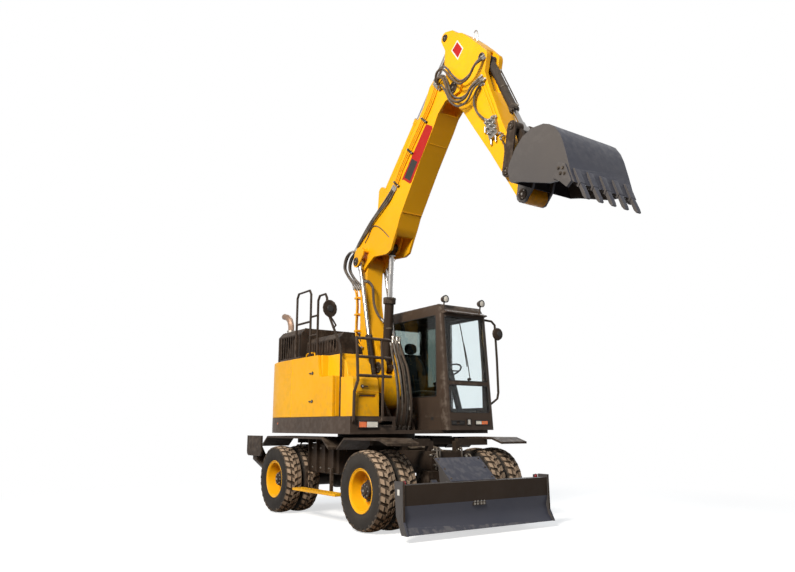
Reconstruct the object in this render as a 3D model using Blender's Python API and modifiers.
# Wheeled excavator with a two-piece boom, a front blade and rear outriggers.
# Metres, +X forward, +Y left, +Z up. While it is modelled the ground is z = 0.
import math
import bpy
import bmesh
from mathutils import Matrix, Vector

for leftover in list(bpy.data.objects):
    bpy.data.objects.remove(leftover, do_unlink=True)

# Clearances
SEAT = 0.0003            # gap between faces that touch
PIN_GAP = 0.0003         # gap at the faces of a pinned eye

# Running gear
TYRE_R = 0.525
TYRE_W = 0.27
TWIN_GAP = 0.05
TYRE_OUT_Y = 1.245
LUG_DEPTH = 0.022
BEAD_R = 0.26
RIM_FLANGE_R = 0.29
RIM_FLANGE_T = 0.012
RIM_WALL = 0.016
HUB_R = 0.15
WHEELBASE = 2.63
FRONT_X = 1.55
REAR_X = FRONT_X - WHEELBASE
KING_Y = 0.58
KNUCKLE_H = 0.23
YOKE_T = 0.05
AXLE_R = 0.125
DIFF_R = 0.185
WHEEL_STEPS = 16

# Chassis
SLEW_X = 0.05
SLEW_R = 0.62
RING_H = 0.17
FRAME_TOP = 1.08
FRAME_LOW = 0.72
FRAME_HALF_W = 0.31
FRAME_FRONT = 1.90
FRAME_REAR = -1.76
FENDER_TOP = 1.20
FENDER_T = 0.03
FENDER_OUT_Y = 1.22
SIDE_BOX_OUT_Y = 0.93
STEP_Y = 1.19

# Blade
BLADE_W = 2.50
BLADE_TOP = 0.66
BLADE_LOW = 0.09
BLADE_FACE_X = 2.53
BLADE_T = 0.055
BLADE_PIVOT = (1.95, 0.58)
BLADE_EYE = (2.36, 0.40)
BLADE_CYL_TOP = (1.97, 0.84)
BLADE_ARM_Y = 0.36
BLADE_ARM_W = 0.09

# Outriggers
LEG_X = -1.95
LEG_W = 0.16
LEG_PIVOT = (0.46, 0.52)
PAD_REACH = 1.235
PAD_T = 0.03
PAD_Z = (0.86, 1.20)
PAD_LEN = 0.60

# Upper structure
DECK_LOW = FRAME_TOP + RING_H
DECK_TOP = 1.49
HOUSE_HALF_W = 1.25
DECK_FRONT = 1.31
TAIL_X = -0.90
HOUSE_TOP = 2.40
HOUSE_FRONT = 0.81
DOOR_REAR = -0.50
DOOR_T = 0.04
BAY_Y = 0.66
WELL_Y = 0.50
WELL_FLOOR = 1.30
NOTCH_Y = HOUSE_HALF_W - 0.16
NOTCH_Z = 2.07
HOOD_T = 0.05
CWT_WALL = 0.22

# Cab
CAB_Y = (0.33, HOUSE_HALF_W)
CAB_REAR = -0.30
CAB_WALL = 0.05
CAB_TOP = 3.22
CAB_FRONT_LOW = (1.47, 1.30)
CAB_FRONT_TOP = (1.32, 3.12)
CAB_BROW = 3.08
CAB_CORNER = 0.045
DOOR_SPAN = (0.42, 1.30)
GLASS_T = 0.012
MIRROR_REACH = HOUSE_HALF_W + 0.25
MIRROR_R = 0.13
RAIL_R = 0.019
RAIL_Y = HOUSE_HALF_W - 0.12
LADDER_Y = (-HOUSE_HALF_W + 0.05, -0.79)

# Working arm, pins in the centre plane as (x, z)
BOOM_FOOT = (0.35, 1.75)
KNEE = (-0.10, 4.06)
STICK_PIN = (2.35, 6.20)
BUCKET_PIN = (3.65, 4.20)
HOIST_LOW = (0.51, 1.42)
ADJUST_LOW = (0.33, 2.27)
ADJUST_TOP = (0.49, 4.22)
CROWD_LOW = (0.34, 5.20)
CROWD_TOP = (2.13, 7.13)
TILT_LOW = (2.93, 6.44)
ROCKER_PIN = (3.42, 4.57)
ROCKER_END = (3.54, 5.15)
BUCKET_EAR = (3.72, 4.62)
BASE_HALF_W = 0.155
UPPER_HALF_W = 0.20
STICK_HALF_W = 0.155
HOIST_W = 0.10
HOIST_Y = UPPER_HALF_W + PIN_GAP + HOIST_W / 2
LOBE_Y = HOIST_Y + HOIST_W / 2 + PIN_GAP
LOBE_T = 0.025
EYE_SLOT = 0.15
ADJUST_SLOT = 0.085
BUCKET_HALF_W = 0.54
TOOTH_COUNT = 5


def material(name, colour, roughness, metallic=0.0):
    made = bpy.data.materials.new(name)
    made.use_nodes = True
    shader = made.node_tree.nodes["Principled BSDF"]
    shader.inputs["Base Color"].default_value = (*colour, 1.0)
    shader.inputs["Roughness"].default_value = roughness
    shader.inputs["Metallic"].default_value = metallic
    return made


YELLOW = material("yellow_paint", (0.90, 0.42, 0.03), 0.4)
DARK = material("dark_paint", (0.06, 0.05, 0.045), 0.5)
BLUE_GREY = material("blue_grey_paint", (0.07, 0.08, 0.10), 0.5)
RUBBER = material("tyre_rubber", (0.03, 0.028, 0.026), 0.9)
STEEL = material("rod_chrome", (0.75, 0.75, 0.76), 0.15, 1.0)
IRON = material("cast_iron", (0.05, 0.05, 0.05), 0.6, 0.3)
GLASS = material("cab_glass", (0.55, 0.65, 0.68), 0.05)
FABRIC = material("seat_fabric", (0.04, 0.04, 0.045), 0.9)
PLASTIC = material("black_plastic", (0.03, 0.03, 0.03), 0.6)

PARTS = bpy.data.collections.new("wheeled_excavator")
bpy.context.scene.collection.children.link(PARTS)


# Working pieces, all made in world coordinates

def as_object(mesh, name="piece"):
    made = bpy.data.objects.new(name, mesh)
    PARTS.objects.link(made)
    return made


def from_bmesh(bm):
    bmesh.ops.recalc_face_normals(bm, faces=bm.faces)
    mesh = bpy.data.meshes.new("piece")
    bm.to_mesh(mesh)
    bm.free()
    return as_object(mesh)


def baked(obj):
    # The evaluated mesh of an object takes its place
    bpy.context.view_layer.update()
    graph = bpy.context.evaluated_depsgraph_get()
    mesh = bpy.data.meshes.new_from_object(obj.evaluated_get(graph))
    mesh.transform(obj.matrix_world)
    bm = bmesh.new()
    bm.from_mesh(mesh)
    bmesh.ops.remove_doubles(bm, verts=bm.verts, dist=1e-5)
    bm.to_mesh(mesh)
    bm.free()
    bpy.data.objects.remove(obj, do_unlink=True)
    return as_object(mesh)


def box(x0, x1, y0, y1, z0, z1, bevel=0.0):
    bm = bmesh.new()
    bmesh.ops.create_cube(bm, size=1.0)
    size = Matrix.Diagonal((x1 - x0, y1 - y0, z1 - z0, 1.0))
    middle = Matrix.Translation(((x0 + x1) / 2, (y0 + y1) / 2, (z0 + z1) / 2))
    bmesh.ops.transform(bm, matrix=middle @ size, verts=bm.verts)
    if bevel:
        bmesh.ops.bevel(bm, geom=bm.edges[:], offset=bevel, segments=1, affect="EDGES", profile=0.5)
    return from_bmesh(bm)


def rod(start, end, radius, steps=12, end_radius=None):
    # A round bar from one point to another
    start, end = Vector(start), Vector(end)
    along = end - start
    bm = bmesh.new()
    bmesh.ops.create_cone(bm, cap_ends=True, segments=steps, radius1=radius,
                          radius2=radius if end_radius is None else end_radius, depth=along.length)
    turn = along.to_track_quat("Z", "Y").to_matrix().to_4x4()
    bmesh.ops.transform(bm, matrix=Matrix.Translation((start + end) / 2) @ turn, verts=bm.verts)
    return from_bmesh(bm)


def plate(outline, low, high, normal="y"):
    # A flat outline given as (x, z), (y, z) or (x, y), as thick as low to high along its normal
    curve = bpy.data.curves.new("outline", "CURVE")
    curve.dimensions = "2D"
    curve.fill_mode = "BOTH"
    curve.extrude = (high - low) / 2
    spline = curve.splines.new("POLY")
    spline.points.add(len(outline) - 1)
    for point, (u, v) in zip(spline.points, outline):
        point.co = (u, v, 0.0, 1.0)
    spline.use_cyclic_u = True
    middle = (low + high) / 2
    frames = {"y": ((1, 0, 0), (0, 0, 1), (0, -1, 0), (0, middle, 0)),
              "x": ((0, 1, 0), (0, 0, 1), (1, 0, 0), (middle, 0, 0)),
              "z": ((1, 0, 0), (0, 1, 0), (0, 0, 1), (0, 0, middle))}
    across, up, out, place = (Vector(v) for v in frames[normal])
    made = as_object(curve)
    made.matrix_world = Matrix((across, up, out)).transposed().to_4x4()
    made.matrix_world.translation = place
    return baked(made)


def tube(points, radius, sides=2, cyclic=False):
    # A bent tube through its corner points
    curve = bpy.data.curves.new("tube", "CURVE")
    curve.dimensions = "3D"
    curve.bevel_depth = radius
    curve.bevel_resolution = sides
    curve.use_fill_caps = True
    spline = curve.splines.new("POLY")
    spline.points.add(len(points) - 1)
    for point, place in zip(spline.points, points):
        point.co = (*place, 1.0)
    spline.use_cyclic_u = cyclic
    return baked(as_object(curve))


def turned(profile, centre, axis, steps=16):
    # A profile of (radius, distance along the axis), from top to bottom, turned about the axis
    mesh = bpy.data.meshes.new("profile")
    mesh.from_pydata([(r, 0.0, h) for r, h in profile],
                     [(i, i + 1) for i in range(len(profile) - 1)], [])
    made = as_object(mesh)
    turn = made.modifiers.new("turn", "SCREW")
    turn.steps = steps
    turn.render_steps = steps
    turn.use_merge_vertices = True
    turn.merge_threshold = 0.0001
    turn.use_normal_calculate = True
    direction = Vector(axis).to_track_quat("Z", "Y").to_matrix().to_4x4()
    made.matrix_world = Matrix.Translation(centre) @ direction
    solid = baked(made)
    bm = bmesh.new()
    bm.from_mesh(solid.data)
    bmesh.ops.recalc_face_normals(bm, faces=bm.faces)
    bm.to_mesh(solid.data)
    bm.free()
    return solid


def combine(base, others, operation):
    for other in others:
        step = base.modifiers.new(operation.lower(), "BOOLEAN")
        step.operation = operation
        step.solver = "EXACT"
        step.object = other
    result = baked(base)
    for other in others:
        bpy.data.objects.remove(other, do_unlink=True)
    bm = bmesh.new()
    bm.from_mesh(result.data)
    bmesh.ops.dissolve_limit(bm, angle_limit=math.radians(0.05), verts=bm.verts, edges=bm.edges)
    bm.to_mesh(result.data)
    bm.free()
    return result


def joined(pieces):
    return combine(pieces[0], pieces[1:], "UNION") if len(pieces) > 1 else pieces[0]


def cut(base, cutters):
    return combine(base, cutters, "DIFFERENCE")


def rounded(obj, pick, radius, segments=2):
    # Rounds the edges whose two ends pass the pick
    bm = bmesh.new()
    bm.from_mesh(obj.data)
    bmesh.ops.dissolve_limit(bm, angle_limit=math.radians(0.05), verts=bm.verts, edges=bm.edges)
    edges = [edge for edge in bm.edges if pick(edge.verts[0].co, edge.verts[1].co)]
    bmesh.ops.bevel(bm, geom=edges, offset=radius, segments=segments, affect="EDGES", profile=0.5)
    bm.to_mesh(obj.data)
    bm.free()
    return obj


def arc(cx, cz, radius, start, end, count):
    # Points on a round stretch of an outline, angles in degrees
    turns = [math.radians(start + (end - start) * i / count) for i in range(count + 1)]
    return [(cx + radius * math.cos(a), cz + radius * math.sin(a)) for a in turns]


def beside(points, distance):
    # An open outline moved to its right by a distance
    moved = []
    for i, (u, v) in enumerate(points):
        before, after = points[max(i - 1, 0)], points[min(i + 1, len(points) - 1)]
        along = Vector((after[0] - before[0], after[1] - before[1])).normalized()
        moved.append((u + along.y * distance, v - along.x * distance))
    return moved


# Bodies: each is an empty on its joint, so that what hangs from it turns or slides there

EMPTIES = {}
BODY_AT = {}


def body(name, parent, place):
    made = bpy.data.objects.new(name + "_axis", None)
    PARTS.objects.link(made)
    made.empty_display_size = 0.2
    BODY_AT[name] = Vector(place)
    if parent:
        made.parent = EMPTIES[parent]
        made.location = BODY_AT[name] - BODY_AT[parent]
    EMPTIES[name] = made


def node(name, body_name, pieces, paint):
    made = joined(pieces) if isinstance(pieces, list) else pieces
    made.name = name
    made.data.name = name
    made.data.transform(Matrix.Translation(-BODY_AT[body_name]))
    made.data.materials.clear()
    made.data.materials.append(paint)
    made.parent = EMPTIES[body_name]
    made.data.shade_smooth()
    made.data.set_sharp_from_angle(angle=math.radians(35))
    return made


def at(pin, y=0.0):
    return Vector((pin[0], y, pin[1]))


body("excavator", None, (0, 0, 0))
body("swing", "excavator", (SLEW_X, 0, DECK_LOW))


# Wheels: two tyres with a spacer ring between them, on one double rim with its hub

SIDES = (("right", -1), ("left", 1))
PAIR_Y = TYRE_OUT_Y - TYRE_W - TWIN_GAP / 2
TYRE_MID = (TYRE_W + TWIN_GAP) / 2
BEAD_HALF = TYRE_W / 2 - 0.03
HUB_FACE = 0.03


def tyre_pair(x, side):
    half = TYRE_W / 2
    tread_r = TYRE_R - LUG_DEPTH
    ring_low = 0.40
    ring_top = 0.43
    bead_top = RIM_FLANGE_R + 0.003
    bead_y = TYRE_MID + BEAD_HALF
    right = [(BEAD_R + SEAT, bead_y), (bead_top, bead_y), (ring_low, TYRE_MID + half),
             (tread_r - 0.02, TYRE_MID + half - 0.012), (tread_r, TYRE_MID),
             (tread_r - 0.02, TYRE_MID - half + 0.012), (ring_top, TYRE_MID - half)]
    left = [(r, -v) for r, v in reversed(right)]
    foot = TYRE_MID - BEAD_HALF
    inside = [(BEAD_R + SEAT, -foot), (bead_top, -foot), (ring_low, -TWIN_GAP / 2 + 0.006),
              (ring_low, TWIN_GAP / 2 - 0.006), (bead_top, foot), (BEAD_R + SEAT, foot)]
    outline = right + left + inside + right[:1]
    made = turned(outline, (x, side * PAIR_Y, TYRE_R), (0, side, 0), WHEEL_STEPS)
    bm = bmesh.new()
    bm.from_mesh(made.data)
    centre = Vector((x, 0, TYRE_R))
    tread = []
    for face in bm.faces:
        middle = face.calc_center_median()
        radial = (middle - centre).xz.length
        if radial < tread_r - 0.03 or abs(face.normal.y) > 0.5:
            continue
        turn = math.atan2(middle.z - TYRE_R, middle.x - x) / (2 * math.pi) * WHEEL_STEPS
        outer_half = abs(middle.y) > PAIR_Y
        near_edge = abs(abs(middle.y) - PAIR_Y) > TYRE_MID
        if (math.floor(turn) + outer_half + near_edge) % 2 == 0:
            tread.append(face)
    raised = bmesh.ops.extrude_discrete_faces(bm, faces=tread)
    for face in raised["faces"]:
        middle = face.calc_center_median()
        out = (middle - centre)
        out.y = 0
        out.normalize()
        for vert in face.verts:
            vert.co = middle + (vert.co - middle) * 0.86 + out * LUG_DEPTH
            reach = (vert.co - centre)
            reach.y = 0
            if reach.length > TYRE_R:
                vert.co -= reach.normalized() * (reach.length - TYRE_R)
    bm.to_mesh(made.data)
    bm.free()
    return made


def double_rim(x, side):
    edge = TYRE_MID + BEAD_HALF + SEAT
    lip = edge + RIM_FLANGE_T
    wall = BEAD_R - RIM_WALL
    profile = [(0, 0.215), (0.075, 0.215), (0.095, 0.13), (0.138, 0.115), (HUB_R, 0.045), (wall, 0.06),
               (wall, lip), (RIM_FLANGE_R, lip), (RIM_FLANGE_R, edge), (BEAD_R, edge),
               (BEAD_R, -edge), (RIM_FLANGE_R, -edge), (RIM_FLANGE_R, -lip), (wall, -lip),
               (wall, 0.02), (HUB_R, -HUB_FACE), (0, -HUB_FACE)]
    return turned(profile, (x, side * PAIR_Y, TYRE_R), (0, side, 0), WHEEL_STEPS)


for end, axle_x in (("front", FRONT_X), ("rear", REAR_X)):
    for side_name, side in SIDES:
        place = "%s_%s" % (end, side_name)
        carrier = "excavator"
        if end == "front":
            carrier = "steer_" + side_name
            body(carrier, "excavator", (axle_x, side * KING_Y, TYRE_R))
        body("wheel_" + place, carrier, (axle_x, side * PAIR_Y, TYRE_R))
        node("tyres_" + place, "wheel_" + place, tyre_pair(axle_x, side), RUBBER)
        node("rim_" + place, "wheel_" + place, double_rim(axle_x, side), YELLOW)

for side_name, side in SIDES:
    hub_y = PAIR_Y - HUB_FACE - SEAT
    half = KNUCKLE_H / 2
    post = rod((FRONT_X, side * KING_Y, TYRE_R - half), (FRONT_X, side * KING_Y, TYRE_R + half), 0.052, 12)
    block = box(FRONT_X - 0.085, FRONT_X + 0.085, *sorted((side * KING_Y, side * (KING_Y + 0.09))),
                TYRE_R - half + 0.01, TYRE_R + half - 0.01)
    spindle = rod((FRONT_X, side * (KING_Y + 0.05), TYRE_R), (FRONT_X, side * hub_y, TYRE_R), 0.105, 14)
    arm_end = Vector((FRONT_X - 0.24, side * (KING_Y - 0.02), TYRE_R))
    arm = rod((FRONT_X, side * (KING_Y + 0.01), TYRE_R), arm_end, 0.03, 8)
    tip = rod(arm_end - Vector((0, 0, 0.03)), arm_end + Vector((0, 0, 0.03)), 0.035, 10)
    node("knuckle_" + side_name, "steer_" + side_name, [post, block, spindle, arm, tip], IRON)


# Front axle with its yokes, and the rear axle with gearbox and drive shaft

def front_axle():
    pieces = [rod((FRONT_X, -0.40, TYRE_R), (FRONT_X, 0.40, TYRE_R), AXLE_R, 14)]
    bulb = [(0, 0.20), (0.11, 0.19), (DIFF_R, 0.09), (DIFF_R, -0.09), (0.11, -0.19), (0, -0.20)]
    pieces.append(turned(bulb, (FRONT_X, 0.0, TYRE_R), (0, 1, 0), 14))
    nose = rod((FRONT_X - 0.1, 0, TYRE_R), (FRONT_X - 0.36, 0, TYRE_R), 0.13, 12, 0.075)
    pieces.append(nose)
    yoke = KNUCKLE_H / 2 + PIN_GAP
    for _, side in SIDES:
        back = sorted((side * 0.35, side * (KING_Y - 0.085)))
        out = sorted((side * 0.36, side * (KING_Y + 0.06)))
        pieces.append(box(FRONT_X - 0.035, FRONT_X + 0.035, *back,
                          TYRE_R - yoke - YOKE_T, TYRE_R + yoke + YOKE_T))
        for low in (TYRE_R + yoke, TYRE_R - yoke - YOKE_T):
            pieces.append(box(FRONT_X - 0.07, FRONT_X + 0.07, *out, low, low + YOKE_T))
    saddle_top = FRAME_LOW - SEAT
    pieces.append(box(FRONT_X - 0.16, FRONT_X + 0.16, -0.20, 0.20, TYRE_R, saddle_top))
    steer_x = FRONT_X + AXLE_R + 0.05
    pieces.append(rod((steer_x, -0.27, TYRE_R + 0.02), (steer_x, 0.27, TYRE_R + 0.02), 0.045, 12))
    pieces.append(box(FRONT_X, steer_x, -0.24, 0.24, TYRE_R - 0.02, TYRE_R + 0.05))
    return pieces


def rear_axle():
    hub_y = PAIR_Y - HUB_FACE - SEAT
    pieces = [rod((REAR_X, -hub_y, TYRE_R), (REAR_X, hub_y, TYRE_R), AXLE_R, 14)]
    bulb = [(0, 0.20), (0.11, 0.19), (DIFF_R, 0.09), (DIFF_R, -0.09), (0.11, -0.19), (0, -0.20)]
    pieces.append(turned(bulb, (REAR_X, 0.0, TYRE_R), (0, 1, 0), 14))
    pieces.append(box(REAR_X + 0.10, REAR_X + 0.62, -0.17, 0.17, TYRE_R - 0.16, FRAME_LOW - 0.02, 0.03))
    for _, side in SIDES:
        pad = sorted((side * 0.16, side * (FRAME_HALF_W - 0.01)))
        pieces.append(box(REAR_X - 0.13, REAR_X + 0.13, *pad, TYRE_R, FRAME_LOW - SEAT))
    shaft_end = FRONT_X - 0.36 - SEAT
    pieces.append(rod((REAR_X + 0.5, 0, TYRE_R), (shaft_end, 0, TYRE_R), 0.035, 10))
    for joint_x in (REAR_X + 0.66, shaft_end - 0.05):
        pieces.append(rod((joint_x - 0.05, 0, TYRE_R), (joint_x + 0.05, 0, TYRE_R), 0.06, 10))
    return pieces


node("front_axle", "excavator", front_axle(), IRON)
node("rear_axle", "excavator", rear_axle(), IRON)


# Chassis frame: backbone, turntable base and ring, side boxes, fenders and outrigger beam

def chassis_frame():
    pieces = [box(FRAME_REAR, FRAME_FRONT, -FRAME_HALF_W, FRAME_HALF_W, FRAME_LOW, 1.02)]
    pieces.append(box(-0.62, 0.72, -0.60, 0.60, FRAME_LOW, FRAME_TOP))
    ring_top = DECK_LOW - SEAT
    pieces.append(turned([(SLEW_R - 0.06, ring_top), (SLEW_R, ring_top), (SLEW_R, ring_top - 0.08),
                          (SLEW_R + 0.04, ring_top - 0.085), (SLEW_R + 0.04, FRAME_TOP - 0.05),
                          (SLEW_R - 0.06, FRAME_TOP - 0.05), (SLEW_R - 0.06, ring_top)],
                         (SLEW_X, 0, 0), (0, 0, 1), 20))
    for _, side in SIDES:
        out = sorted((side * 0.5, side * SIDE_BOX_OUT_Y))
        pieces.append(box(-0.47, 0.45, *out, 0.66, 1.10, 0.02))
        for rib_x in (-0.40, -0.14, 0.12, 0.38):
            rib = sorted((side * (SIDE_BOX_OUT_Y - 0.02), side * (SIDE_BOX_OUT_Y + 0.05)))
            pieces.append(box(rib_x, rib_x + 0.02, *rib, 0.68, FENDER_TOP - 0.02))
        for start, stop in ((REAR_X - 0.53, 0.66), (0.90, FRONT_X + 0.62)):
            drop = 0.14
            run = 0.20
            front_drop = drop if start < 0 else 0.06
            outline = [(start, FENDER_TOP - drop), (start + run, FENDER_TOP), (stop - run, FENDER_TOP),
                       (stop, FENDER_TOP - front_drop), (stop, FENDER_TOP - front_drop - FENDER_T),
                       (stop - run, FENDER_TOP - FENDER_T), (start + run, FENDER_TOP - FENDER_T),
                       (start, FENDER_TOP - drop - FENDER_T)]
            wing = sorted((side * 0.72, side * FENDER_OUT_Y))
            pieces.append(plate(outline, *wing))
        for arm_x in (REAR_X, -0.35, 0.45, 1.15, FRONT_X + 0.2):
            arm = sorted((side * 0.25, side * 0.80))
            arm_low = 0.98 if abs(arm_x) < 0.6 else FENDER_TOP - 0.11
            pieces.append(box(arm_x - 0.04, arm_x + 0.04, *arm, arm_low, FENDER_TOP - FENDER_T / 2))
        for arm_x in (REAR_X, 1.15, FRONT_X + 0.2):
            arm = sorted((side * 0.20, side * 0.28))
            pieces.append(box(arm_x - 0.04, arm_x + 0.04, *arm, 0.95, FENDER_TOP - 0.05))
    beam_front = FRAME_REAR + 0.05
    beam_rear = LEG_X - LEG_W / 2 - 0.07
    pieces.append(box(beam_rear, beam_front, -0.34, 0.34, 0.44, 1.04, 0.02))
    for _, side in SIDES:
        for low, high in ((beam_rear + 0.005, LEG_X - LEG_W / 2 - SEAT),
                          (LEG_X + LEG_W / 2 + SEAT, beam_front - 0.005)):
            lug = [(side * 0.30, 0.98), (side * 0.30, 0.45), (side * 0.48, 0.45), (side * 0.55, 0.52),
                   (side * 0.50, 0.62), (side * 0.40, 0.98)]
            pieces.append(plate(lug, low, high, "x"))
    cross = BLADE_ARM_Y + BLADE_ARM_W / 2 + 0.03
    pieces.append(box(FRAME_FRONT - 0.09, FRAME_FRONT + 0.09, -cross, cross, 0.53, 0.765))
    for y in (-0.078, 0.0523):
        ear = [(FRAME_FRONT - 0.02, 0.74), (BLADE_CYL_TOP[0] + 0.02, 0.75)]
        ear += arc(*BLADE_CYL_TOP, 0.055, 0, 110, 4) + [(FRAME_FRONT - 0.02, 0.95)]
        pieces.append(plate(ear, y, y + 0.0257))
    made = joined(pieces)
    cutters = [plate(arc(BLADE_PIVOT[0], BLADE_PIVOT[1], 0.10, 0, 360, 14)[:-1], y - BLADE_ARM_W / 2 - SEAT,
                     y + BLADE_ARM_W / 2 + SEAT) for y in (-BLADE_ARM_Y, BLADE_ARM_Y)]
    for _, side in SIDES:
        room = sorted((side * (LEG_PIVOT[0] - 0.10), side * 0.62))
        cutters.append(box(LEG_X - LEG_W / 2 - SEAT, LEG_X + LEG_W / 2 + SEAT, *room, 0.40, 1.10))
    cutters.append(box(LEG_X - 0.06, LEG_X + 0.06, -0.36, 0.36, 0.62, 1.10))
    cutters.append(box(FRAME_FRONT + 0.004, FRAME_FRONT + 0.12, -0.058, 0.058, 0.50, 0.735))
    cutters.append(box(FRAME_FRONT + 0.004, FRAME_FRONT + 0.12, -0.0523, 0.0523, 0.70, 0.80))
    return cut(made, cutters)


node("chassis_frame", "excavator", chassis_frame(), DARK)

for side_name, side in SIDES:
    step = [box(-0.43, 0.88, *sorted((side * (STEP_Y - 0.16), side * (STEP_Y + 0.03))), 0.40, 0.435)]
    post_y = sorted((side * (SIDE_BOX_OUT_Y + 0.05 + SEAT), side * (SIDE_BOX_OUT_Y + 0.09)))
    brace_y = sorted((side * (SIDE_BOX_OUT_Y + 0.06), side * (STEP_Y - 0.1)))
    for post_x in (-0.415, 0.365):
        step.append(box(post_x, post_x + 0.05, *post_y, 0.405, 0.76))
        step.append(box(post_x, post_x + 0.05, *brace_y, 0.412, 0.426))
    node("side_step_" + side_name, "excavator", step, YELLOW)


# Blade with its arms and the cover plate over its cylinder

body("blade", "excavator", at(BLADE_PIVOT))


def blade():
    face = [(BLADE_FACE_X, BLADE_TOP), (BLADE_FACE_X, 0.42), (BLADE_FACE_X - 0.035, 0.30),
            (BLADE_FACE_X, 0.18), (BLADE_FACE_X + 0.08, BLADE_LOW)]
    back = [(x - BLADE_T, z) for x, z in reversed(face)]
    back[-1] = (BLADE_FACE_X - BLADE_T, BLADE_TOP - 0.05)
    rim = [(BLADE_FACE_X - 0.15, BLADE_TOP - 0.05), (BLADE_FACE_X - 0.15, BLADE_TOP)]
    half = BLADE_W / 2
    pieces = [plate(face + back + rim, -half, half)]
    cheek = [(BLADE_FACE_X - 0.17, BLADE_TOP + 0.04), (BLADE_FACE_X + 0.012, BLADE_TOP + 0.04),
             (BLADE_FACE_X + 0.02, 0.24), (BLADE_FACE_X + 0.10, BLADE_LOW), (BLADE_FACE_X - 0.02, BLADE_LOW),
             (BLADE_FACE_X - 0.13, 0.30)]
    for _, side in SIDES:
        pieces.append(plate(cheek, *sorted((side * (half - 0.03), side * (half - 0.002)))))
    back_x = BLADE_FACE_X - BLADE_T - 0.02
    for y in (-BLADE_ARM_Y, BLADE_ARM_Y):
        arm = arc(BLADE_PIVOT[0], BLADE_PIVOT[1], 0.09, 20, 260, 7)
        arm += [(back_x, 0.22), (back_x + 0.01, 0.55)]
        pieces.append(plate(arm, y - BLADE_ARM_W / 2, y + BLADE_ARM_W / 2))
    pieces.append(box(BLADE_EYE[0] + 0.055, back_x + 0.005, -BLADE_ARM_Y, BLADE_ARM_Y, 0.24, 0.56))
    for y in (-0.07, 0.045):
        ear = arc(BLADE_EYE[0], BLADE_EYE[1], 0.055, 90, 270, 6) + [(back_x, 0.33), (back_x, 0.47)]
        pieces.append(plate(ear, y, y + 0.025))
    cover = [(2.085, 0.93), (2.10, 0.945), (2.43, 0.665), (2.42, 0.645), (2.39, 0.62), (2.38, 0.63)]
    pieces.append(plate(cover, -0.42, 0.36))
    for y in (-BLADE_ARM_Y - 0.01, BLADE_ARM_Y - 0.03):
        web = [(2.10, 0.92), (2.42, 0.64), (2.42, 0.50), (2.16, 0.50)]
        pieces.append(plate(web, y, y + 0.03))
    return pieces


node("blade", "blade", blade(), BLUE_GREY)


# Hydraulic cylinders: a barrel that swings on its foot pin, and a rod that slides out of it

BARREL_STEPS = 12
EYE_STEPS = 12


def cylinder(name, parent, foot, tip, barrel_len, radii, widths, pin_axis=(0, 1, 0), stored=0.30, paint=DARK,
             collar=1.12):
    # radii: barrel, rod, foot eye, rod eye; widths: foot eye, rod eye; collar: gland over barrel radius
    barrel_r, rod_r, foot_r, eye_r = radii
    foot_w, eye_w = widths
    foot, tip, pin = Vector(foot), Vector(tip), Vector(pin_axis)
    along = (tip - foot).normalized()
    body(name + "_barrel", parent, foot)
    body(name + "_rod", name + "_barrel", tip)
    bore_r = rod_r + SEAT
    gland_r = barrel_r * collar
    gland = barrel_len
    gland_low = gland - 0.8 * barrel_r - 0.03
    profile = [(bore_r, gland), (gland_r, gland), (gland_r, gland_low), (barrel_r, gland_low - 0.01),
               (barrel_r, foot_r * 0.6), (0, foot_r * 0.6), (0, foot_r * 1.1), (bore_r, foot_r * 1.1),
               (bore_r, gland)]
    shell = turned(profile, foot, along, BARREL_STEPS)
    eye = rod(foot - pin * foot_w / 2, foot + pin * foot_w / 2, foot_r, EYE_STEPS)
    node(name + "_barrel", name + "_barrel", [shell, eye], paint)
    inside = foot + along * (barrel_len - stored)
    bar = rod(inside, tip - along * eye_r * 0.5, rod_r, BARREL_STEPS)
    head = rod(tip - pin * eye_w / 2, tip + pin * eye_w / 2, eye_r, EYE_STEPS)
    neck = rod(tip - along * eye_r * 1.9, tip - along * eye_r * 0.4, rod_r * 1.35, BARREL_STEPS)
    node(name + "_rod", name + "_rod", [bar, head, neck], STEEL)


cylinder("blade_lift", "excavator", at(BLADE_CYL_TOP), at(BLADE_EYE), 0.33, (0.048, 0.026, 0.05, 0.04),
         (0.104, 0.088), stored=0.16)

# Outriggers: box legs that fold up beside the rear end, each with its pad and cylinder

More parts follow.
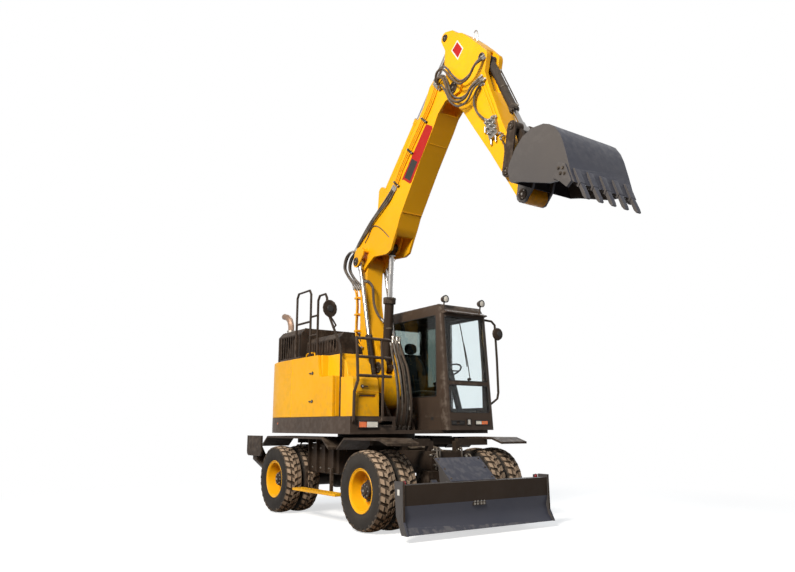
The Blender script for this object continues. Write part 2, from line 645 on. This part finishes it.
for side_name, side in SIDES:
    name = "outrigger_" + side_name
    pivot = (LEG_X, side * LEG_PIVOT[0], LEG_PIVOT[1])
    body(name, "excavator", pivot)
    half = LEG_W / 2
    ear_at = (LEG_PIVOT[0] + 0.42, LEG_PIVOT[1] + 0.20)
    leg = arc(*LEG_PIVOT, 0.09, 110, 290, 6)
    leg += [(0.86, 0.50), (PAD_REACH - 0.04, 0.80), (PAD_REACH - 0.04, 1.08), (PAD_REACH - 0.12, 1.06),
            (0.98, 0.80), (0.80, 0.68)]
    pieces = [plate([(side * y, z) for y, z in leg], LEG_X - half, LEG_X + half, "x")]
    pad_low, pad_high = PAD_Z
    pad_half = PAD_LEN / 2
    foot = arc(LEG_X - pad_half + 0.08, pad_low + 0.08, 0.08, 180, 270, 3)
    foot += arc(LEG_X + pad_half - 0.08, pad_low + 0.08, 0.08, 270, 360, 3)
    foot += [(LEG_X + pad_half, pad_high), (LEG_X - pad_half, pad_high)]
    pieces.append(plate(foot, *sorted((side * (PAD_REACH - 0.045), side * (PAD_REACH - 0.045 + PAD_T)))))
    for ear_x in (LEG_X - 0.075, LEG_X + 0.045):
        ear = [(ear_at[0] - 0.16, ear_at[1] - 0.12)] + arc(*ear_at, 0.055, 180, 0, 6)
        ear += [(ear_at[0] + 0.14, ear_at[1] + 0.02)]
        pieces.append(plate([(side * y, z) for y, z in ear], ear_x, ear_x + 0.03, "x"))
    leg_solid = joined(pieces)
    room = [(0.34, 0.56), (0.50, 0.58), (0.80, 0.60), (1.00, 0.66), (1.00, 1.20), (0.34, 1.20)]
    slot = plate([(side * y, z) for y, z in room], LEG_X - 0.0553, LEG_X + 0.0553, "x")
    node(name + "_leg", name, cut(leg_solid, [slot]), DARK)
    cylinder("prop_" + side_name, "excavator", (LEG_X, side * 0.30, 0.99),
             (LEG_X, side * ear_at[0], ear_at[1]), 0.46, (0.042, 0.025, 0.045, 0.04),
             (0.119, 0.11), (1, 0, 0), stored=0.30)


# Revolving deck: skirt and floor with the well for the boom, brackets, front ladder

def deck():
    half = HOUSE_HALF_W
    outline = [(DECK_FRONT, -half), (DECK_FRONT, half)]
    outline += arc(TAIL_X, 0, half, 90, 270, 18)
    slots = [box(0.42, DECK_FRONT + 0.1, -WELL_Y, CAB_Y[0] - 0.005, WELL_FLOOR, DECK_TOP + 0.1)]
    for vent in range(3):
        low = WELL_FLOOR + 0.04 + vent * 0.035
        slots.append(box(DECK_FRONT - 0.012, DECK_FRONT + 0.02, -WELL_Y - 0.24, -WELL_Y - 0.06,
                         low, low + 0.014))
    made = cut(plate(outline, DECK_LOW, DECK_TOP, "z"), slots)
    extra = [box(DECK_FRONT - 0.01, DECK_FRONT + 0.012, -1.13, -0.80, WELL_FLOOR + 0.03, WELL_FLOOR + 0.13)]
    for _, side in SIDES:
        bracket = [(BOOM_FOOT[0] - 0.35, DECK_TOP - 0.02)]
        bracket += arc(*BOOM_FOOT, 0.13, 160, 20, 5)
        bracket += [(0.80, WELL_FLOOR + 0.10), (0.84, WELL_FLOOR - 0.02), (0.3, WELL_FLOOR - 0.02)]
        extra.append(plate(bracket, *sorted((side * (BASE_HALF_W + PIN_GAP), side * UPPER_HALF_W))))
        ear_r = 0.065
        ear = arc(*HOIST_LOW, ear_r, 180, 0, 6)
        ear += [(HOIST_LOW[0] + ear_r + 0.02, WELL_FLOOR - 0.02), (HOIST_LOW[0] - ear_r, WELL_FLOOR - 0.02)]
        extra.append(plate(ear, *sorted((side * LOBE_Y, side * (CAB_Y[0] + 0.01)))))
    rail = 0.022
    top = DECK_TOP + 1.08
    out_y, in_y = LADDER_Y
    front = DECK_FRONT + 0.11
    extra.append(tube([(DECK_FRONT - 0.02, out_y, 1.40), (DECK_FRONT + 0.04, out_y - 0.02, 1.44),
                       (DECK_FRONT + 0.05, out_y - 0.02, DECK_TOP + 0.33), (front, out_y, DECK_TOP + 0.48),
                       (front - 0.04, out_y, top)], rail, 1))
    extra.append(tube([(DECK_FRONT - 0.02, in_y, 1.40), (front - 0.01, in_y, 1.44),
                       (front, in_y, DECK_TOP + 0.51), (front - 0.04, in_y, top)], rail, 1))
    for rung in range(3):
        rung_z = DECK_TOP + 0.55 + rung * 0.26
        rung_x = front - 0.005 - rung * 0.017
        extra.append(rod((rung_x, out_y - 0.015, rung_z), (rung_x, in_y + 0.145, rung_z), rail * 0.95, 8))
    return joined([made] + extra)


node("deck", "swing", deck(), DARK)


# Tail: counterweight shell, engine block in its bay, hood with its two boxes

def counterweight():
    half = HOUSE_HALF_W
    outline = [(DOOR_REAR - SEAT, -half), (DOOR_REAR - SEAT, half)]
    outline += arc(TAIL_X, 0, half, 90, 270, 18)
    solid = plate(outline, DECK_TOP + SEAT, HOUSE_TOP, "z")
    bay = box(TAIL_X - 0.65, 0.0, -half + CWT_WALL, half - CWT_WALL, DECK_TOP + 0.12, HOUSE_TOP + 0.1)
    return cut(solid, [bay])


node("counterweight", "swing", counterweight(), YELLOW)
node("engine", "swing", box(TAIL_X - 0.55, DOOR_REAR - 0.12, -0.70, 0.70, DECK_TOP + 0.12 + SEAT,
                           HOUSE_TOP - 0.10, 0.04), IRON)


def hood():
    low = HOUSE_TOP + SEAT
    top = low + HOOD_T
    half = HOUSE_HALF_W - 0.10
    lid = [(DOOR_REAR + 0.10, -half), (DOOR_REAR + 0.10, half)] + arc(TAIL_X, 0, half, 90, 270, 16)
    pieces = [plate(lid, low, top, "z")]
    rear_face, rear_top = -1.02, HOUSE_TOP + 0.55
    rear_box = [(rear_face, top - 0.02), (rear_face, rear_top - 0.09), (rear_face + 0.08, rear_top),
                (0.62, rear_top), (0.70, rear_top - 0.07), (0.70, top - 0.02)]
    pieces.append(plate(rear_box, -1.52, -0.66, "x"))
    side_face, side_top = -0.95, HOUSE_TOP + 0.36
    side_inner = -BAY_Y - 0.03
    side_box = [(side_face, low), (side_face, side_top - 0.08), (side_face + 0.07, side_top),
                (side_inner - 0.04, side_top), (side_inner, side_top - 0.06), (side_inner, low)]
    pieces.append(plate(side_box, -0.60, 0.48, "x"))
    for start, count, face, rib_top in ((-1.47, 10, rear_face, rear_top - 0.11),
                                        (-0.555, 12, side_face, side_top - 0.10)):
        for rib in range(count):
            rib_x = start + rib * 0.085
            pieces.append(box(rib_x, rib_x + 0.022, face - 0.014, face + 0.01, HOUSE_TOP + 0.08, rib_top))
    pipe = [(-1.40, -0.85, rear_top - 0.05), (-1.40, -0.85, rear_top + 0.13),
            (-1.43, -0.86, rear_top + 0.23), (-1.50, -0.87, rear_top + 0.29), (-1.62, -0.88, rear_top + 0.32)]
    pieces.append(tube(pipe, 0.055, 2))
    return pieces


node("hood", "swing", hood(), DARK)


# Right side: machinery house, hinged door, tool box

def machinery_house():
    low = DECK_TOP + SEAT
    out_y = -HOUSE_HALF_W + DOOR_T + 0.006
    rear, behind_cab = DOOR_REAR + SEAT, CAB_REAR - 0.03
    plan = [(HOUSE_FRONT, out_y), (HOUSE_FRONT, -BAY_Y), (behind_cab, -BAY_Y), (behind_cab, HOUSE_HALF_W),
            (rear, HOUSE_HALF_W), (rear, out_y)]
    notch = box(DOOR_TOP_FRONT[0] + 0.05, HOUSE_FRONT + 0.3, out_y - 0.1, -NOTCH_Y, NOTCH_Z, HOUSE_TOP + 0.1)
    slope_y = -NOTCH_Y + 0.012
    slope = [(HOUSE_FRONT - 0.05, low), (0.96, low), (0.96, 2.02), (0.90, 2.25), (HOUSE_FRONT - 0.05, 2.38)]
    return joined([plate(slope, slope_y, -BAY_Y), cut(plate(plan, low, HOUSE_TOP, "z"), [notch])])


DOOR_TOP_FRONT = (0.353, HOUSE_TOP)
node("machinery_house", "swing", machinery_house(), YELLOW)
SIDE_DOOR_HINGE = (DOOR_REAR + 0.006, -HOUSE_HALF_W)
body("side_door", "swing", (*SIDE_DOOR_HINGE, 1.95))


def side_door():
    rear, low = SIDE_DOOR_HINGE[0], DECK_TOP + 0.004
    notch_x = DOOR_TOP_FRONT[0] + 0.045
    outline = [(rear, low), (HOUSE_FRONT, low), (HOUSE_FRONT, NOTCH_Z), (notch_x + 0.04, NOTCH_Z),
               (notch_x, NOTCH_Z + 0.05), DOOR_TOP_FRONT, (rear, HOUSE_TOP)]
    pieces = [plate(outline, -HOUSE_HALF_W, -HOUSE_HALF_W + DOOR_T)]
    for hinge_z in (1.62, 2.22):
        pieces.append(rod((*SIDE_DOOR_HINGE, hinge_z - 0.05), (*SIDE_DOOR_HINGE, hinge_z + 0.05), 0.006, 12))
    return pieces


node("side_door", "side_door", side_door(), YELLOW)


def tool_box():
    rear, front = 0.96 + SEAT, DECK_FRONT - 0.005
    low, seam, top = DECK_TOP + SEAT, DECK_TOP + 0.33, DECK_TOP + 0.55
    outline = [(rear, low), (front, low), (front, seam), (front - 0.025, top - 0.04), (front - 0.06, top),
               (rear, top)]
    out_y, in_y = -HOUSE_HALF_W + 0.05, -0.78
    made = plate(outline, out_y, in_y)
    groove = box(front - 0.008, front + 0.01, out_y - 0.1, in_y + 0.1, seam - 0.004, seam + 0.004)
    grip = box(front - 0.015, front + 0.01, out_y + 0.10, in_y - 0.05, seam - 0.07, seam - 0.03)
    return cut(made, [groove, grip])


node("tool_box", "swing", tool_box(), YELLOW)


# Handrails: tubes on the house top with the right mirror

def right_rails():
    y = -RAIL_Y
    top = HOUSE_TOP
    foot = top + SEAT
    rear_loop = [(-0.62, y, foot + HOOD_T + SEAT), (-0.62, y, top + 1.02), (-0.57, y, top + 1.09),
                 (-0.19, y, top + 1.09), (-0.14, y, top + 1.02), (-0.14, y, foot)]
    pieces = [tube(rear_loop, RAIL_R, 1)]
    pieces.append(rod((-0.62, y, top + 0.58), (-0.14, y, top + 0.58), RAIL_R * 0.95, 8))
    front_loop = [(0.10, y, foot), (0.10, y, top + 0.88), (0.15, y, top + 0.95), (0.33, y, top + 0.95),
                  (0.38, y, top + 0.88), (0.38, y, top + 0.70), (0.82, y - 0.02, top + 0.13),
                  (0.87, y - 0.02, top - 0.02), (0.87, y - 0.02, DECK_TOP + SEAT)]
    pieces.append(tube(front_loop, RAIL_R, 1))
    for clamp in (0.35, 0.65):
        pieces.append(rod((-0.14, y, top + clamp), (0.10, y, top + clamp), RAIL_R * 0.9, 8))
    mirror_y = -MIRROR_REACH + MIRROR_R
    stalk = [(0.62, y - 0.01, top + 0.39), (0.70, y - 0.02, top + 0.42),
             (0.86, (y + 2 * mirror_y) / 3, top + 0.46), (0.90, mirror_y, top + 0.52)]
    pieces.append(tube(stalk, 0.013, 1))
    dish = [(0, 0.03), (0.10, 0.02), (MIRROR_R, 0.0), (MIRROR_R - 0.005, -0.012), (0, -0.012)]
    pieces.append(turned(dish, (0.90, mirror_y, top + 0.62), (-1, -0.15, 0), 14))
    return pieces


node("handrail_right", "swing", right_rails(), DARK)


# Cab: hollow shell with windows, glass, door, seat and console

def front_x(z, inset=0.0):
    (x0, z0), (x1, z1) = CAB_FRONT_LOW, CAB_FRONT_TOP
    return x0 + (x1 - x0) * (z - z0) / (z1 - z0) - inset


def cab_profile(inset):
    low = DECK_TOP + SEAT + inset
    nose_low = CAB_FRONT_LOW[1] + inset
    roof = CAB_TOP - inset
    brow_x = front_x(CAB_BROW, inset)
    front = [(front_x(nose_low, inset), nose_low), (brow_x, CAB_BROW), (brow_x - 0.10, roof)]
    back = [(CAB_REAR + 0.10, roof), (CAB_REAR + inset, 3.10), (CAB_REAR + inset, low)]
    step = [(DECK_FRONT + SEAT + inset, low), (DECK_FRONT + SEAT + inset, nose_low)]
    return front + back + step


SCREENS = (("windscreen_lower", 1.56, 1.97), ("windscreen", 2.03, 3.02))
SCREEN_IN = 0.07
WINDOW_LOW = 2.02
WINDOW_TOP = 3.04
SIDE_GLASS = (-0.12, 1.20, 1.80)
REAR_GLASS_LOW = 2.10
REAR_GLASS_TOP = 3.0
QUARTER_REAR = -0.20
DOOR_GLASS_LOW = 1.64
DOOR_BEND = 2.2
DOOR_TOP = 3.10


def door_outline(inset, low):
    # The doorway's outline, leaning back at its front edge above the bend
    rear, front = DOOR_SPAN[0] + inset, DOOR_SPAN[1] - inset
    top = DOOR_TOP - inset
    return [(rear, low), (front, low), (front, DOOR_BEND), (front - 0.06, top), (rear, top)]


def cab_frame():
    y0, y1 = CAB_Y
    shell = rounded(plate(cab_profile(0.0), y0, y1),
                    lambda a, b: abs(a.y - b.y) < SEAT and max(a.z, b.z) > CAB_BROW - SEAT, CAB_CORNER)
    room = plate(cab_profile(CAB_WALL)[:-2] + [(DECK_FRONT + 0.05, DECK_TOP + CAB_WALL)],
                 y0 + CAB_WALL, y1 - CAB_WALL)
    holes = [box(1.15, 1.60, y0 + SCREEN_IN, y1 - SCREEN_IN, low, high) for _, low, high in SCREENS]
    holes.append(box(SIDE_GLASS[0], SIDE_GLASS[1], y0 - 0.05, y0 + 0.10, SIDE_GLASS[2], WINDOW_TOP))
    holes.append(box(CAB_REAR - 0.1, CAB_REAR + 0.1, y0 + 0.10, y1 - 0.10, REAR_GLASS_LOW, REAR_GLASS_TOP))
    holes.append(box(QUARTER_REAR, DOOR_SPAN[0] - 0.06, y1 - 0.10, y1 + 0.05, WINDOW_LOW, WINDOW_TOP))
    holes.append(plate(door_outline(0.0, DECK_TOP + 0.06), y1 - 0.10, y1 + 0.05))
    made = cut(shell, [room] + holes)
    brow = front_x(CAB_BROW)
    visor = plate([(brow - 0.03, 3.13), (brow + 0.09, 3.085), (brow + 0.09, 3.068), (brow - 0.03, 3.05)],
                  y0 + CAB_CORNER, y1 - CAB_CORNER)
    lamps = []
    for y in (y0 + 0.09, y1 - 0.09):
        lamp = [(0, 0.04), (0.052, 0.035), (0.058, 0.02), (0.045, -0.03), (0, -0.035)]
        lamps.append(turned(lamp, (brow - 0.02, y, CAB_TOP + 0.065), (1, 0, 0), 12))
        lamps.append(rod((brow - 0.035, y, CAB_BROW + 0.02), (brow - 0.02, y, CAB_TOP + 0.04), 0.012, 8))
    return joined([made, visor] + lamps)


node("cab_frame", "swing", cab_frame(), DARK)


def cab_glass():
    y0, y1 = CAB_Y
    inset = 0.02
    for name, low, high in SCREENS:
        low, high = low + SEAT, high - SEAT
        pane = [(front_x(low, inset), low), (front_x(high, inset), high),
                (front_x(high, inset + GLASS_T), high), (front_x(low, inset + GLASS_T), low)]
        node(name, "swing", plate(pane, y0 + SCREEN_IN + SEAT, y1 - SCREEN_IN - SEAT), GLASS)
    rear, front, low = SIDE_GLASS
    node("glass_right", "swing", box(rear + SEAT, front - SEAT, y0 + 0.02, y0 + 0.02 + GLASS_T,
                                     low + SEAT, WINDOW_TOP - SEAT), GLASS)
    node("glass_rear", "swing", box(CAB_REAR + 0.02, CAB_REAR + 0.02 + GLASS_T, y0 + 0.10 + SEAT,
                                    y1 - 0.10 - SEAT, REAR_GLASS_LOW + SEAT, REAR_GLASS_TOP - SEAT), GLASS)
    node("glass_left", "swing", box(QUARTER_REAR + SEAT, DOOR_SPAN[0] - 0.06 - SEAT, y1 - 0.03,
                                    y1 - 0.03 + GLASS_T, WINDOW_LOW + SEAT, WINDOW_TOP - SEAT), GLASS)


cab_glass()

DOOR_GAP = 0.006
CAB_HINGE = (DOOR_SPAN[0] - 0.012, CAB_Y[1] + 0.012, 2.2)
body("cab_door", "swing", CAB_HINGE)


def cab_door():
    x0 = DOOR_SPAN[0]
    y0, y1 = CAB_Y[1] - 0.042, CAB_Y[1]
    gap = DOOR_GAP
    rim = 0.055
    sill = DOOR_GLASS_LOW
    glass_gap = SEAT / 2
    edge = door_outline(gap, DECK_TOP + 0.06 + gap)
    frame = cut(plate(edge, y0, y1), [plate(door_outline(rim, sill), y0 - 0.05, y1 + 0.05)])
    pane = door_outline(rim + glass_gap, sill + glass_gap)
    hinges = []
    for z in (1.75, 2.75):
        hinges.append(rod((*CAB_HINGE[:2], z), (*CAB_HINGE[:2], z + 0.09), 0.0115, 10))
        hinges.append(box(x0 - 0.012, x0 + 0.045, y1 + 0.005, y1 + 0.014, z + 0.01, z + 0.08))
        hinges.append(box(x0 + gap + 0.004, x0 + 0.04, y1 - 0.004, y1 + 0.012, z + 0.015, z + 0.075))
    node("cab_door", "cab_door", joined([frame] + hinges), DARK)
    node("door_glass", "cab_door", plate(pane, y0 + 0.012, y0 + 0.012 + GLASS_T), GLASS)


cab_door()


def seat():
    floor = DECK_TOP + CAB_WALL + 2 * SEAT
    pieces = [box(0.10, 0.55, 0.56, 0.98, floor, 1.78, 0.02)]
    pieces.append(box(0.02, 0.58, 0.52, 1.02, 1.74, 1.95, 0.04))
    back = [(0.02, 1.85), (0.16, 1.88), (0.02, 2.60), (-0.10, 2.60), (-0.12, 2.50)]
    pieces.append(plate(back, 0.53, 1.01))
    pieces.append(box(-0.12, 0.0, 0.66, 0.88, 2.55, 2.76, 0.03))
    for y in (0.44, 1.06):
        pieces.append(box(0.15, 0.60, y, y + 0.07, 2.02, 2.10))
        pieces.append(box(0.18, 0.30, *((y + 0.01, 0.58) if y < 0.7 else (0.96, y + 0.06)), 1.86, 2.06))
        pieces.append(rod((0.54, y + 0.035, 2.07), (0.56, y + 0.035, 2.24), 0.02, 6))
    return pieces


def console():
    floor = DECK_TOP + CAB_WALL + 2 * SEAT
    pieces = [rod((1.21, 0.77, floor + 0.03), (1.00, 0.77, 2.18), 0.05, 10)]
    rim_points = [(0.19 * math.cos(a), 0.19 * math.sin(a)) for a in
                  [math.radians(360 / 14 * i) for i in range(14)]]
    tilt = Matrix.Translation((0.985, 0.77, 2.22)) @ Matrix.Rotation(math.radians(-28), 4, "Y")
    pieces.append(tube([tuple(tilt @ Vector((u, v, 0))) for u, v in rim_points], 0.014, 1, True))
    for angle in (90, 210, 330):
        tip = tilt @ Vector((0.19 * math.cos(math.radians(angle)), 0.19 * math.sin(math.radians(angle)), 0))
        pieces.append(rod(tilt @ Vector((0, 0, 0)), tip, 0.012, 6))
    pieces.append(rod(tilt @ Vector((0, 0, 0.02)), tilt @ Vector((0, 0, -0.10)), 0.045, 10))
    pieces.append(box(1.14, 1.30, 0.42, 0.60, floor, 1.62, 0.01))
    pieces.append(box(1.10, 1.30, 0.50, 1.02, floor, 1.60, 0.0))
    return pieces


node("seat", "swing", seat(), FABRIC)
node("console", "swing", console(), PLASTIC)


def left_rail():
    wall = CAB_Y[1] + SEAT
    out = MIRROR_REACH - 0.03
    x_top, x_low = front_x(3.0, 0.04), front_x(1.70, 0.04)
    foot_x = x_top - 0.045
    pieces = [tube([(foot_x, wall, 3.04), (foot_x, wall + 0.05, 3.04), (x_top + 0.02, out - 0.08, 3.02),
                    (x_top + 0.03, out - 0.02, 2.96), (x_top + 0.05, out - 0.01, 2.40),
                    (x_top + 0.06, out - 0.01, 1.88), (x_low, out - 0.08, 1.78),
                    (x_low - 0.045, wall + 0.05, 1.70), (x_low - 0.045, wall, 1.70)], RAIL_R, 1)]
    mirror = (x_top + 0.14, MIRROR_REACH - 0.105, 2.80)
    pieces.append(rod((x_top + 0.04, out - 0.015, mirror[2]), mirror, 0.012, 8))
    dish = [(0, 0.02), (0.08, 0.015), (0.105, 0.0), (0.095, -0.03), (0.05, -0.045), (0, -0.045)]
    pieces.append(turned(dish, mirror, (-1, 0, 0), 14))
    return pieces


node("handrail_left", "swing", left_rail(), DARK)


# Working arm: lower boom, upper boom, stick, bucket and its linkage

body("lower_boom", "swing", at(BOOM_FOOT))
body("upper_boom", "lower_boom", at(KNEE))
body("stick", "upper_boom", at(STICK_PIN))
body("bucket", "stick", at(BUCKET_PIN))
body("rocker", "stick", at(ROCKER_PIN))
body("link", "rocker", at(ROCKER_END))


def lower_boom():
    outline = arc(*BOOM_FOOT, 0.12, 180, 330, 5)
    outline += [(0.53, 1.88), (0.52, 2.12)] + arc(*ADJUST_LOW, 0.15, -35, 60, 4)
    outline += [(0.23, 2.66), (0.15, 2.88), (0.02, 3.12), (-0.03, 3.36), (-0.03, 3.68), (-0.01, 3.88)]
    outline += arc(*KNEE, 0.125, -20, 200, 8)
    outline += [(-0.215, 3.86), (-0.23, 3.50), (-0.235, 3.12), (-0.20, 2.72), (-0.07, 2.32), (0.12, 2.0)]
    made = plate(outline, -BASE_HALF_W, BASE_HALF_W)
    room = arc(*ADJUST_LOW, 0.12, 150, 300, 5) + [(0.75, 2.10), (0.75, 2.95), (0.25, 2.95)]
    return cut(made, [plate(room, -ADJUST_SLOT, ADJUST_SLOT)])


node("lower_boom", "lower_boom", lower_boom(), YELLOW)


def upper_boom():
    outline = arc(*KNEE, 0.15, 290, 205, 4)
    outline += [(-0.34, 4.12), (-0.37, 4.25), (-0.30, 4.34), (-0.075, 4.46), (0.15, 4.62), (0.30, 4.79),
                (1.04, 5.52), (1.36, 5.90), (1.62, 6.17), (1.79, 6.46), (1.88, 6.515), (2.08, 6.53)]
    outline += arc(*STICK_PIN, 0.17, 90, -40, 6)
    outline += [(2.16, 6.07), (1.99, 5.94), (1.86, 5.75), (1.54, 5.35), (1.01, 4.61), (0.93, 4.45),
                (0.815, 4.25), (0.735, 4.10), (0.62, 4.06), (0.25, 4.09), (0.08, 4.00)]
    made = plate(outline, -UPPER_HALF_W, UPPER_HALF_W)
    knee_room = [(-0.35, 3.7), (0.9, 3.7), (0.9, 4.30), (0.62, 4.38)] + arc(*ADJUST_TOP, 0.15, 60, 140, 4)
    knee_room += arc(*KNEE, 0.20, 50, 180, 6)
    cutters = [plate(knee_room, -BASE_HALF_W - PIN_GAP, BASE_HALF_W + PIN_GAP)]
    tip_room = arc(*STICK_PIN, 0.42, 180, 250, 5) + [(2.3, 5.6), (3.0, 5.6), (3.0, 7.0)]
    tip_room += [(1.42, 7.0), (1.42, 5.93), (1.62, 6.11), (1.86, 6.28)]
    cutters.append(plate(tip_room, -STICK_HALF_W - PIN_GAP, STICK_HALF_W + PIN_GAP))
    made = cut(made, cutters)
    extra = []
    ear_t = 0.04
    for y in (-EYE_SLOT / 2 - ear_t, EYE_SLOT / 2):
        ear = arc(*ADJUST_TOP, 0.085, 200, 340, 5) + [(0.70, 4.46), (0.36, 4.46)]
        extra.append(plate(ear, y, y + ear_t))
        mount = [(0.20, 4.655)] + arc(*CROWD_LOW, 0.085, 160, 30, 5) + [(0.66, 5.10), (0.50, 4.90)]
        extra.append(plate(mount, y, y + ear_t))
    for _, side in SIDES:
        lobe = arc(*KNEE, 0.10, 160, 320, 6)
        lobe += [(0.11, 4.13), (0.127, 4.20), (0.08, 4.275), (-0.05, 4.29), (-0.13, 4.24)]
        extra.append(plate(lobe, *sorted((side * LOBE_Y, side * (LOBE_Y + LOBE_T)))))
        spacer = [(0.10, 4.19), (0.11, 4.21), (0.07, 4.26), (-0.045, 4.275), (-0.04, 4.22)]
        extra.append(plate(spacer, *sorted((side * (UPPER_HALF_W - 0.01), side * (LOBE_Y + 0.01)))))
    return joined([made] + extra)


node("upper_boom", "upper_boom", upper_boom(), YELLOW)


def stick():
    outline = [(2.28, 6.02), (2.19, 6.25), (2.13, 6.50), (2.10, 6.72), (2.12, 6.93), (2.07, 7.03)]
    outline += arc(*CROWD_TOP, 0.10, 190, 60, 5)
    outline += [(2.30, 7.18), (2.39, 7.09), (2.51, 7.03), (2.69, 6.855), (2.86, 6.68)]
    outline += arc(*TILT_LOW, 0.11, 60, -20, 3)
    outline += [(2.98, 6.20), (3.06, 5.95), (3.28, 5.35), (3.54, 4.75)]
    outline += arc(*BUCKET_PIN, 0.11, 20, -150, 6)
    outline += [(3.36, 4.46), (3.05, 4.96), (2.76, 5.39), (2.51, 5.77)]
    made = plate(outline, -STICK_HALF_W, STICK_HALF_W)
    fork = EYE_SLOT / 2
    top = arc(*CROWD_TOP, 0.13, 330, 270, 3) + [(1.85, 6.72), (1.8, 7.4), (2.3, 7.4)]
    lift = arc(*TILT_LOW, 0.125, 90, 250, 5) + [(3.03, 5.88), (3.4, 5.88), (3.4, 6.8), (3.0, 6.8)]
    return cut(made, [plate(top, -fork, fork), plate(lift, -fork, fork)])


node("stick", "stick", stick(), YELLOW)

BUCKET_EAR_Y = (STICK_HALF_W + PIN_GAP, STICK_HALF_W + 0.035)
ROCKER_Y = (0.205, 0.235)


def bucket():
    # Outer shell section, from the lip at the ears round the back to the teeth
    outer = [(3.79, 4.24), (3.755, 4.38), (3.78, 4.47), (3.89, 4.63), (4.02, 4.745), (4.17, 4.80),
             (4.36, 4.785), (4.45, 4.745), (4.53, 4.685), (4.60, 4.575), (4.64, 4.46), (4.685, 4.27),
             (4.725, 4.08), (4.77, 3.95)]
    wall = 0.03
    inner = [(3.83, 4.10)] + beside(outer[1:-1], wall) + [(4.75, 3.85)]
    half = BUCKET_HALF_W
    mouth = [(4.60, 4.03), (4.40, 4.05), (3.95, 4.20)]
    shell = plate(outer + mouth, -half, half)
    pieces = [cut(shell, [plate(inner, -half + wall, half - wall)])]
    for _, side in SIDES:
        cutter = [(4.48, 4.08), (4.58, 4.24), (4.67, 4.19), (4.745, 3.97), (4.67, 3.92), (4.58, 4.01)]
        pieces.append(plate(cutter, *sorted((side * (half - 0.02), side * (half + 0.022)))))
        ear = arc(*BUCKET_PIN, 0.11, 150, 290, 5) + [(3.82, 4.24), (3.98, 4.70)]
        ear += arc(*BUCKET_EAR, 0.095, 60, 160, 4)
        pieces.append(plate(ear, *sorted(side * y for y in BUCKET_EAR_Y)))
    for i in range(TOOTH_COUNT):
        y = -half + 0.10 + i * (2 * half - 0.20) / (TOOTH_COUNT - 1)
        adapter = [(4.655, 4.09), (4.70, 4.15), (4.735, 4.13), (4.80, 3.95), (4.77, 3.90), (4.70, 3.97)]
        tooth = [(4.755, 3.95), (4.785, 3.975), (4.855, 3.80), (4.865, 3.755), (4.845, 3.75), (4.815, 3.79)]
        pieces.append(plate(adapter, y - 0.045, y + 0.045))
        pieces.append(plate(tooth, y - 0.034, y + 0.034))
    return pieces


node("bucket", "bucket", bucket(), BLUE_GREY)

for side_name, side in SIDES:
    arm_in, arm_out = ROCKER_Y
    arm = arc(*ROCKER_PIN, 0.08, 170, 350, 5) + arc(*ROCKER_END, 0.075, 350, 530, 5)
    boss = rod(at(ROCKER_PIN, side * (STICK_HALF_W + PIN_GAP)), at(ROCKER_PIN, side * (arm_in + 0.01)),
               0.055, 12)
    node("rocker_" + side_name, "rocker", [plate(arm, *sorted((side * arm_in, side * arm_out))), boss], DARK)


def link():
    along = Vector((BUCKET_EAR[0] - ROCKER_END[0], 0, BUCKET_EAR[1] - ROCKER_END[1])).normalized()
    top, low = at(ROCKER_END), at(BUCKET_EAR)
    inner = BUCKET_EAR_Y[0] - PIN_GAP
    pieces = [rod(low - Vector((0, inner, 0)), low + Vector((0, inner, 0)), 0.075, 14)]
    for _, side in SIDES:
        pieces.append(rod(at(ROCKER_END, side * EYE_SLOT / 2), at(ROCKER_END, side * (ROCKER_Y[0] - PIN_GAP)),
                          0.07, 14))
        side_low, side_high = sorted((side * 0.075, side * 0.135))
        across = Vector((along.z, 0, -along.x)) * 0.05
        quad = [top + across, top - across, low - across, low + across]
        pieces.append(plate([(p.x, p.z) for p in quad], side_low, side_high))
    return pieces


node("link", "link", link(), DARK)

for side_name, side in SIDES:
    hoist_y = side * HOIST_Y
    cylinder("hoist_" + side_name, "swing", at(HOIST_LOW, hoist_y), at(KNEE, hoist_y), 1.40,
             (0.048, 0.032, 0.063, 0.075), (HOIST_W, HOIST_W), stored=0.45)
EYE_W = EYE_SLOT - 2 * PIN_GAP
cylinder("adjust", "lower_boom", at(ADJUST_LOW), at(ADJUST_TOP), 1.12, (0.075, 0.045, 0.085, 0.07),
         (2 * ADJUST_SLOT - 2 * PIN_GAP, EYE_W), stored=0.35, collar=1.35)
cylinder("crowd", "upper_boom", at(CROWD_LOW), at(CROWD_TOP), 1.32, (0.062, 0.04, 0.07, 0.07),
         (EYE_W, EYE_W), stored=0.46, paint=YELLOW)
cylinder("tilt", "stick", at(TILT_LOW), at(ROCKER_END), 1.05, (0.058, 0.036, 0.065, 0.055),
         (EYE_W, EYE_W), stored=0.95)


# The whole machine is set on its origin: the middle of its box, at the ground

def stand_on_origin():
    bpy.context.view_layer.update()
    solids = [obj for obj in PARTS.objects if obj.type == "MESH"]
    corners = [obj.matrix_world @ Vector(corner) for obj in solids for corner in obj.bound_box]
    low = [min(c[i] for c in corners) for i in range(3)]
    high = [max(c[i] for c in corners) for i in range(3)]
    EMPTIES["excavator"].location = (-(low[0] + high[0]) / 2, -(low[1] + high[1]) / 2, -low[2])


stand_on_origin()
